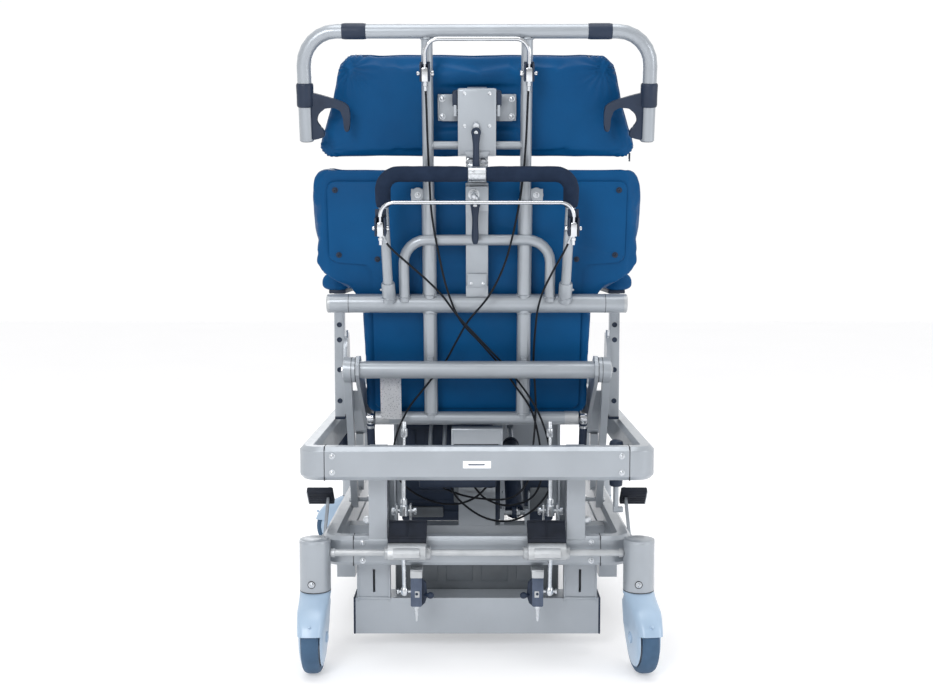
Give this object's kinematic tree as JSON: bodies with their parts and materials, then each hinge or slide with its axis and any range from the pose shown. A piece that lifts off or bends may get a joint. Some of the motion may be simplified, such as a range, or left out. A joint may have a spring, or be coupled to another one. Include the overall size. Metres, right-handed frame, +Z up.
{
  "type": "sit to stand lift",
  "caption": "Wheeled lift chair that reclines and tips its seat up to bring a person from sitting to standing.",
  "frame": {"origin": "on the floor below the middle of the wheelbase, on the symmetry plane of the frame", "axes": "+X towards the left-hand castors as seen from behind, +Y out of the rear of the chair, +Z up"},
  "size_m": [0.8797, 1.2301, 1.3687],
  "materials": {
    "frame_paint": "satin silver-grey powder coat",
    "blue_vinyl": "grained soft vinyl",
    "grip_foam": "matt closed-cell foam",
    "black_plastic": "moulded, lightly textured",
    "chrome_trim": "polished",
    "castor_plastic": "smooth moulding",
    "castor_tyre": "matt polyurethane",
    "bare_plate": "pressed tread plate",
    "cable_black": "smooth sheath"
  },
  "bodies": {
    "chassis": {"lower_frame": "frame_paint", "rear_frame": "frame_paint", "bumper_rear_bar": "frame_paint", "bumper_side_left": "frame_paint", "bumper_side_right": "frame_paint", "ballast_beam": "frame_paint", "knee_trestle": "frame_paint"},
    "brake_pedals": {"brake_axle": "chrome_trim", "rear_pedal_left": "black_plastic", "rear_pedal_right": "black_plastic"},
    "side_pedal_left": {"side_pedal_left": "frame_paint"},
    "side_pedal_right": {"side_pedal_right": "frame_paint"},
    "seat": {"seat_frame": "frame_paint", "seat_cushion": "blue_vinyl", "hip_tube": "frame_paint", "cable_upper_left": "cable_black", "cable_upper_right": "cable_black", "cable_lower_left": "cable_black", "cable_lower_right": "cable_black"},
    "armrest_left": {"armrest_post_left": "frame_paint", "armrest_pad_left": "blue_vinyl"},
    "armrest_right": {"armrest_post_right": "frame_paint", "armrest_pad_right": "blue_vinyl"},
    "back": {"upright_left": "frame_paint", "upright_right": "frame_paint", "cross_tube_upper": "frame_paint", "cross_tube_lower": "frame_paint", "arch_tube": "frame_paint", "push_bar": "frame_paint", "bar_hook_left": "black_plastic", "bar_hook_right": "black_plastic", "push_handle": "frame_paint", "handle_grip_left": "grip_foam", "handle_grip_right": "grip_foam", "stem_guide": "frame_paint", "back_cushion": "blue_vinyl"},
    "head_carrier": {"head_stem": "frame_paint"},
    "head_pad": {"head_hinge": "frame_paint", "head_cushion": "blue_vinyl"},
    "clamp_lever_upper": {"clamp_lever_upper": "black_plastic"},
    "clamp_lever_lower": {"clamp_lever_lower": "black_plastic"},
    "bail_lever_upper": {"bail_lever_upper": "chrome_trim"},
    "bail_lever_lower": {"bail_lever_lower": "chrome_trim"},
    "leg": {"leg_frame": "frame_paint", "calf_pad": "blue_vinyl"},
    "footplate": {"footplate": "bare_plate"},
    "lift_barrel": {"lift_barrel": "black_plastic"},
    "lift_rod": {"lift_rod": "chrome_trim"},
    "spring_barrel_left": {"spring_barrel_left": "black_plastic"},
    "spring_rod_left": {"spring_rod_left": "chrome_trim"},
    "spring_barrel_right": {"spring_barrel_right": "black_plastic"},
    "spring_rod_right": {"spring_rod_right": "chrome_trim"},
    "castor_rear_left": {"castor_rear_left": "castor_plastic"},
    "wheel_rear_left": {"wheel_rear_left": "castor_tyre"},
    "castor_rear_right": {"castor_rear_right": "castor_plastic"},
    "wheel_rear_right": {"wheel_rear_right": "castor_tyre"},
    "castor_front_left": {"castor_front_left": "castor_plastic"},
    "wheel_front_left": {"wheel_front_left": "castor_tyre"},
    "castor_front_right": {"castor_front_right": "castor_plastic"},
    "wheel_front_right": {"wheel_front_right": "castor_tyre"}
  },
  "joints": [
    {"name": "brake_pedal_tilt", "type": "hinge", "parent": "chassis", "child": "brake_pedals", "pos_m": [0, 0.5, 0.247], "axis": [1, 0, 0], "range_deg": [-12, 12], "stiffness_Nm_per_rad": 40},
    {"name": "side_pedal_left_press", "type": "hinge", "parent": "chassis", "child": "side_pedal_left", "pos_m": [0.341, 0.36, 0.243], "axis": [1, 0, 0], "range_deg": [0, 12], "stiffness_Nm_per_rad": 20, "springref_deg": -8.59},
    {"name": "side_pedal_right_press", "type": "hinge", "parent": "chassis", "child": "side_pedal_right", "pos_m": [-0.341, 0.36, 0.243], "axis": [1, 0, 0], "range_deg": [0, 12], "stiffness_Nm_per_rad": 20, "springref_deg": -8.59},
    {"name": "seat_lift", "type": "hinge", "parent": "chassis", "child": "seat", "pos_m": [0, -0.33, 0.53], "axis": [1, 0, 0], "range_deg": [0, 70]},
    {"name": "armrest_left_height", "type": "slide", "parent": "seat", "child": "armrest_left", "axis": [0, 0, 1], "range_m": [0, 0.1]},
    {"name": "armrest_right_height", "type": "slide", "parent": "seat", "child": "armrest_right", "axis": [0, 0, 1], "range_m": [0, 0.1]},
    {"name": "back_recline", "type": "hinge", "parent": "seat", "child": "back", "pos_m": [0, 0.29618, 0.6186], "axis": [-1, 0, 0], "range_deg": [0, 70], "deforming": ["cable_upper_left", "cable_upper_right", "cable_lower_left", "cable_lower_right"]},
    {"name": "head_height", "type": "slide", "parent": "back", "child": "head_carrier", "axis": [0, 0.2222, 0.975], "range_m": [0, 0.08]},
    {"name": "head_tilt", "type": "hinge", "parent": "head_carrier", "child": "head_pad", "pos_m": [0, 0.39658, 1.18957], "axis": [1, 0, 0], "range_deg": [-10, 10]},
    {"name": "clamp_lever_upper_turn", "type": "hinge", "parent": "head_carrier", "child": "clamp_lever_upper", "pos_m": [0.002, 0.414, 1.144], "axis": [0, 0.975, -0.2222], "range_deg": [0, 90]},
    {"name": "clamp_lever_lower_turn", "type": "hinge", "parent": "back", "child": "clamp_lever_lower", "pos_m": [0.004, 0.362, 0.989], "axis": [0, 0.975, -0.2222], "range_deg": [0, 90]},
    {"name": "bail_lever_upper_pull", "type": "hinge", "parent": "back", "child": "bail_lever_upper", "pos_m": [0, 0.42074, 1.26406], "axis": [-1, 0, 0], "range_deg": [0, 12], "stiffness_Nm_per_rad": 4, "springref_deg": -8.59},
    {"name": "bail_lever_lower_pull", "type": "hinge", "parent": "back", "child": "bail_lever_lower", "pos_m": [0, 0.41788, 0.93651], "axis": [-1, 0, 0], "range_deg": [0, 12], "stiffness_Nm_per_rad": 6, "springref_deg": -8.59},
    {"name": "leg_raise", "type": "hinge", "parent": "chassis", "child": "leg", "pos_m": [0, -0.33, 0.53], "axis": [-1, 0, 0], "range_deg": [0, 75]},
    {"name": "footplate_fold", "type": "hinge", "parent": "leg", "child": "footplate", "pos_m": [0, -0.412, 0.097], "axis": [-1, 0, 0], "range_deg": [0, 85]},
    {"name": "lift_cylinder_tilt", "type": "hinge", "parent": "chassis", "child": "lift_barrel", "pos_m": [-0.088, 0.22, 0.272], "axis": [1, 0, 0], "range_deg": [-22, 1]},
    {"name": "lift_cylinder_stroke", "type": "slide", "parent": "lift_barrel", "child": "lift_rod", "axis": [0, -0.9432, 0.3323], "range_m": [0, 0.085]},
    {"name": "recline_spring_left_tilt", "type": "hinge", "parent": "seat", "child": "spring_barrel_left", "pos_m": [0.25, 0.155, 0.29], "axis": [1, 0, 0], "range_deg": [-1, 18]},
    {"name": "recline_spring_left_stroke", "type": "slide", "parent": "spring_barrel_left", "child": "spring_rod_left", "axis": [0, 0.3024, 0.9532], "range_m": [0, 0.145]},
    {"name": "recline_spring_right_tilt", "type": "hinge", "parent": "seat", "child": "spring_barrel_right", "pos_m": [-0.25, 0.155, 0.29], "axis": [1, 0, 0], "range_deg": [-1, 18]},
    {"name": "recline_spring_right_stroke", "type": "slide", "parent": "spring_barrel_right", "child": "spring_rod_right", "axis": [0, 0.3024, 0.9532], "range_m": [0, 0.145]},
    {"name": "castor_rear_left_swivel", "type": "hinge", "parent": "chassis", "child": "castor_rear_left", "pos_m": [0.345, 0.5, 0.167], "axis": [0, 0, 1], "continuous": true},
    {"name": "wheel_rear_left_roll", "type": "hinge", "parent": "castor_rear_left", "child": "wheel_rear_left", "pos_m": [0.345, 0.535, 0.075], "axis": [1, 0, 0], "continuous": true},
    {"name": "castor_rear_right_swivel", "type": "hinge", "parent": "chassis", "child": "castor_rear_right", "pos_m": [-0.345, 0.5, 0.167], "axis": [0, 0, 1], "continuous": true},
    {"name": "wheel_rear_right_roll", "type": "hinge", "parent": "castor_rear_right", "child": "wheel_rear_right", "pos_m": [-0.34987, 0.53466, 0.075], "axis": [0.9903, 0.1392, 0], "continuous": true},
    {"name": "castor_front_left_swivel", "type": "hinge", "parent": "chassis", "child": "castor_front_left", "pos_m": [0.365, -0.5, 0.167], "axis": [0, 0, 1], "continuous": true},
    {"name": "wheel_front_left_roll", "type": "hinge", "parent": "castor_front_left", "child": "wheel_front_left", "pos_m": [0.4, -0.5, 0.075], "axis": [0, -1, 0], "continuous": true},
    {"name": "castor_front_right_swivel", "type": "hinge", "parent": "chassis", "child": "castor_front_right", "pos_m": [-0.365, -0.5, 0.167], "axis": [0, 0, 1], "continuous": true},
    {"name": "wheel_front_right_roll", "type": "hinge", "parent": "castor_front_right", "child": "wheel_front_right", "pos_m": [-0.365, -0.465, 0.075], "axis": [1, 0, 0], "continuous": true}
  ],
  "couplings": [
    {"joint": "lift_cylinder_tilt", "follows": "seat_lift", "ratio": -0.3001},
    {"joint": "lift_cylinder_stroke", "follows": "seat_lift", "m_per_rad": 0.06794},
    {"joint": "recline_spring_left_tilt", "follows": "back_recline", "ratio": 0.2467},
    {"joint": "recline_spring_left_stroke", "follows": "back_recline", "m_per_rad": 0.1144},
    {"joint": "recline_spring_right_tilt", "follows": "back_recline", "ratio": 0.2467},
    {"joint": "recline_spring_right_stroke", "follows": "back_recline", "m_per_rad": 0.1144}
  ]
}
